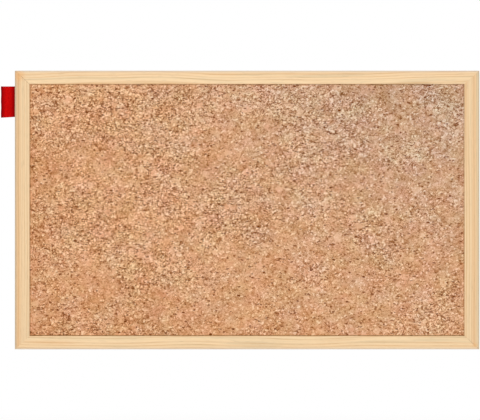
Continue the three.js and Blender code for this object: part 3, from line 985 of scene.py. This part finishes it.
class MEMOBOARD_OT_back(bpy.types.Operator):
    """Give the softboard core its pressed fibre"""

    bl_idname = "memo_board.back"
    bl_label = "Softboard Back"
    bl_options = {"REGISTER", "UNDO"}

    def execute(self, context):
        paint_nodes(["backing_board"], softboard_finish(context.scene.memo_back))
        return {"FINISHED"}


class MEMOBOARD_OT_fittings(bpy.types.Operator):
    """Plate the nails, points, staples and hangers, and bend the two hanger rings"""

    bl_idname = "memo_board.fittings"
    bl_label = "Steel Fittings"
    bl_options = {"REGISTER", "UNDO"}

    def execute(self, context):
        settings = context.scene.memo_steel
        zinc = zinc_finish(settings)
        paint_nodes(nodes_called("corner_nail", "backing_point", "hanger", "label_staple"), zinc)
        for joint in frame["joints"]:
            body = joint["child"]
            points, faces = ring_wire("hanger_" + body, joint["pos_m"], settings)
            ring = make_piece("wire_" + body, points, faces, zinc, body)
            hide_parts("hanger_" + body)
        return {"FINISHED"}


class MEMOBOARD_OT_label(bpy.types.Operator):
    """Fold the woven label round the side of the frame"""

    bl_idname = "memo_board.label"
    bl_label = "Woven Label"
    bl_options = {"REGISTER", "UNDO"}

    def execute(self, context):
        settings = context.scene.memo_label
        points, faces, weave, length, tall = label_ribbon(settings)
        ribbon = make_piece("label_ribbon", points, faces, ribbon_finish(settings), "board")
        corners = np.empty(len(ribbon.data.loops), np.int32)
        ribbon.data.loops.foreach_get("vertex_index", corners)
        ribbon.data.uv_layers.new(name="weave").uv.foreach_set("vector", weave[corners].ravel())
        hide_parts("label")
        return {"FINISHED"}


def soft_lamp(name, place, size, power):
    """A square lamp at a place, turned towards the board's middle."""
    light = bpy.data.lights.new(name, "AREA")
    light.shape = "SQUARE"
    light.size = size
    light.energy = power
    lamp = in_scene(name, light)
    lamp.location = place
    lamp.visible_camera = False
    x, y, z = place
    lamp.rotation_euler = (math.atan2(math.hypot(x, y), z), 0, math.atan2(x, -y))


def studio_floor(settings):
    """A round floor: rings of points at growing radius, from its middle to its rim. Towards the rim
    the paper glows as white as the surround, so that no edge shows where they meet."""
    rings = 24
    spokes = 96
    radius = np.linspace(0.02, 1, rings)[:, None] * settings.floor_radius
    turn = np.linspace(0, 2 * math.pi, spokes, endpoint=False)[None]
    level = np.full((rings, spokes), -settings.drop)
    points = np.stack([radius * np.cos(turn), radius * np.sin(turn), level], axis=-1)
    faces = grid_faces(rings, spokes, round_columns=True).tolist()
    faces.append(list(range(spokes)))
    paper = Finish("studio_paper")
    x, y, _ = paper.split(paper.place)
    away = paper.distance(x, y)
    glow = paper.rise(away, 0.3 * settings.floor_radius, 0.9 * settings.floor_radius)
    tooth = paper.noise(paper.place, 300, detail=3.0)
    unlit = paper.minus(1.0, glow)
    shade = paper.times(paper.rise(tooth, 0.3, 0.7, 0.985, 1.0), unlit)
    finish = paper.close(
        Base_Color=paper.blend(1.0, settings.floor, paper.grey(shade), "MULTIPLY"),
        Roughness=0.8,
        Normal=paper.bump(tooth, 0.05 * MM),
        Specular_IOR_Level=0.0,
        Emission_Color=(1, 1, 1, 1),
        Emission_Strength=glow,
    )
    floor = mesh_object("studio_floor", points, faces, finish)


def studio_sky(settings):
    """White all round. The camera sees it at full strength, and it lights the board at its own."""
    world = bpy.data.worlds.new("studio_white")
    world.use_nodes = True
    bpy.context.scene.world = world
    tree = world.node_tree
    seen = tree.nodes.new("ShaderNodeLightPath").outputs["Is Camera Ray"]
    strength = tree.nodes.new("ShaderNodeMapRange")
    strength.inputs["To Min"].default_value = settings.sky
    strength.inputs["To Max"].default_value = 1.0
    tree.links.new(seen, strength.inputs["Value"])
    background = tree.nodes["Background"]
    background.inputs["Color"].default_value = (1, 1, 1, 1)
    tree.links.new(strength.outputs["Result"], background.inputs["Strength"])


def place_camera(settings):
    """The camera looks square at the board along +Y. Its lens is the one that makes the board as
    wide in the picture as it is in the photograph, and it stands where the picture's middle is."""
    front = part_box("frame_top")[0].y
    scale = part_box("frame_right")[1].x * 2 / (BOARD_RIGHT_PIXEL - BOARD_LEFT_PIXEL)
    board_middle = (BOARD_LEFT_PIXEL + BOARD_RIGHT_PIXEL) / 2
    data = bpy.data.cameras.new("photo_camera")
    data.sensor_width = 36
    data.lens = data.sensor_width * settings.distance / (PHOTO_WIDTH * scale)
    data.clip_start = 0.05
    data.clip_end = 50
    camera = in_scene("photo_camera", data)
    camera.location = (
        (PHOTO_WIDTH / 2 - board_middle) * scale,
        front - settings.distance,
        (BOARD_MIDDLE_ROW - PHOTO_HEIGHT / 2) * scale,
    )
    camera.rotation_euler = (math.pi / 2, 0, 0)
    bpy.context.scene.camera = camera


class MEMOBOARD_OT_stage(bpy.types.Operator):
    """Set up the camera, the soft lamps, the white surround and the pale floor"""

    bl_idname = "memo_board.stage"
    bl_label = "Stage"
    bl_options = {"REGISTER", "UNDO"}

    def execute(self, context):
        settings = context.scene.memo_stage
        place_camera(settings)
        studio_floor(settings)
        studio_sky(settings)
        soft_lamp("key_lamp", (-0.5, -2.3, 1.0), 1.4, settings.key)
        soft_lamp("low_lamp", (0.5, -2.3, -0.3), 1.0, settings.low)
        soft_lamp("rear_lamp", (0.9, 1.9, 1.3), 1.2, settings.rear)
        context.scene.view_settings.view_transform = "Standard"
        context.scene.view_settings.look = "None"
        return {"FINISHED"}


STEPS = (
    MEMOBOARD_OT_stage,
    MEMOBOARD_OT_cork,
    MEMOBOARD_OT_frame,
    MEMOBOARD_OT_back,
    MEMOBOARD_OT_fittings,
    MEMOBOARD_OT_label,
)

SETTINGS = {
    "memo_cork": CorkSettings,
    "memo_pine": PineSettings,
    "memo_back": BackSettings,
    "memo_steel": SteelSettings,
    "memo_label": LabelSettings,
    "memo_stage": StageSettings,
}


class MEMOBOARD_PT_panel(bpy.types.Panel):
    """Lists the steps that dress the memo board"""

    bl_idname = "MEMOBOARD_PT_panel"
    bl_label = "Memo Board"
    bl_space_type = "VIEW_3D"
    bl_region_type = "UI"
    bl_category = "Memo Board"

    def draw(self, context):
        for step in STEPS:
            self.layout.operator(step.bl_idname)


def register():
    for kind in (*SETTINGS.values(), *STEPS, MEMOBOARD_PT_panel):
        bpy.utils.register_class(kind)
    for name, kind in SETTINGS.items():
        setattr(bpy.types.Scene, name, bpy.props.PointerProperty(type=kind))


def unregister():
    for name in SETTINGS:
        delattr(bpy.types.Scene, name)
    for kind in (MEMOBOARD_PT_panel, *reversed(STEPS), *reversed(SETTINGS.values())):
        bpy.utils.unregister_class(kind)


def main():
    register()
    bpy.ops.memo_board.stage()
    bpy.ops.memo_board.cork()
    bpy.ops.memo_board.frame()
    bpy.ops.memo_board.back()
    bpy.ops.memo_board.fittings()
    bpy.ops.memo_board.label()


if __name__ == "__main__":
    main()
